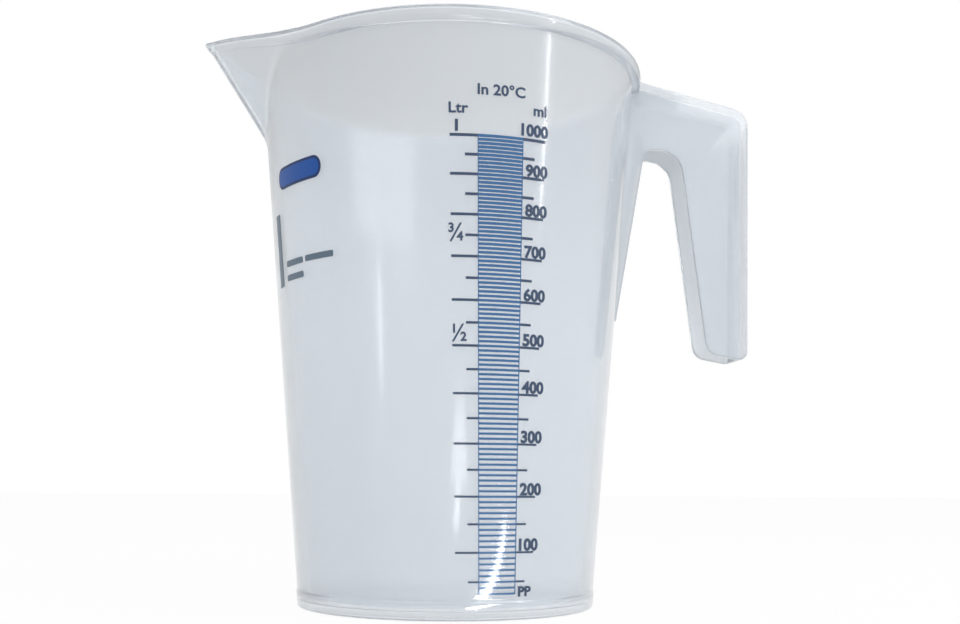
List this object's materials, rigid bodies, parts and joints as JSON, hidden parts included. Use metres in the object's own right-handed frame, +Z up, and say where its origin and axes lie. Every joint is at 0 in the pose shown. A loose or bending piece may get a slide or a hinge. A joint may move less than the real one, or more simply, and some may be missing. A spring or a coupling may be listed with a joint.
{
  "type": "measuring jug",
  "caption": "Tapered translucent measuring jug with a beaked spout, an open channel handle and a printed volume scale.",
  "frame": {"origin": "centre of the standing ring, on the table plane", "axes": "+Z up along the jug's axis, +X toward the handle, -X toward the spout, the scale on the -Y side"},
  "size_m": [0.1772, 0.1238, 0.1771],
  "materials": {
    "translucent_shell": "milky translucent polypropylene, satin moulded surface",
    "scale_ink": "printed blue ink",
    "numeral_ink": "printed dark blue ink",
    "panel_ink": "printed blue ink"
  },
  "bodies": {
    "root": {"body_wall": "translucent_shell", "base_floor": "translucent_shell", "foot_ring": "translucent_shell", "rim_bead": "translucent_shell", "spout": "translucent_shell", "spout_lip": "translucent_shell", "handle_spine": "translucent_shell", "handle_cheek_front": "translucent_shell", "handle_cheek_back": "translucent_shell", "handle_rib_front": "translucent_shell", "handle_rib_back": "translucent_shell", "scale_lines": "scale_ink", "scale_rails": "scale_ink", "litre_ticks": "scale_ink", "millilitre_ticks": "scale_ink", "millilitre_numerals": "numeral_ink", "litre_fractions": "numeral_ink", "unit_marks": "numeral_ink", "temperature_mark": "numeral_ink", "material_mark": "numeral_ink", "marking_panel": "panel_ink"}
  },
  "joints": []
}
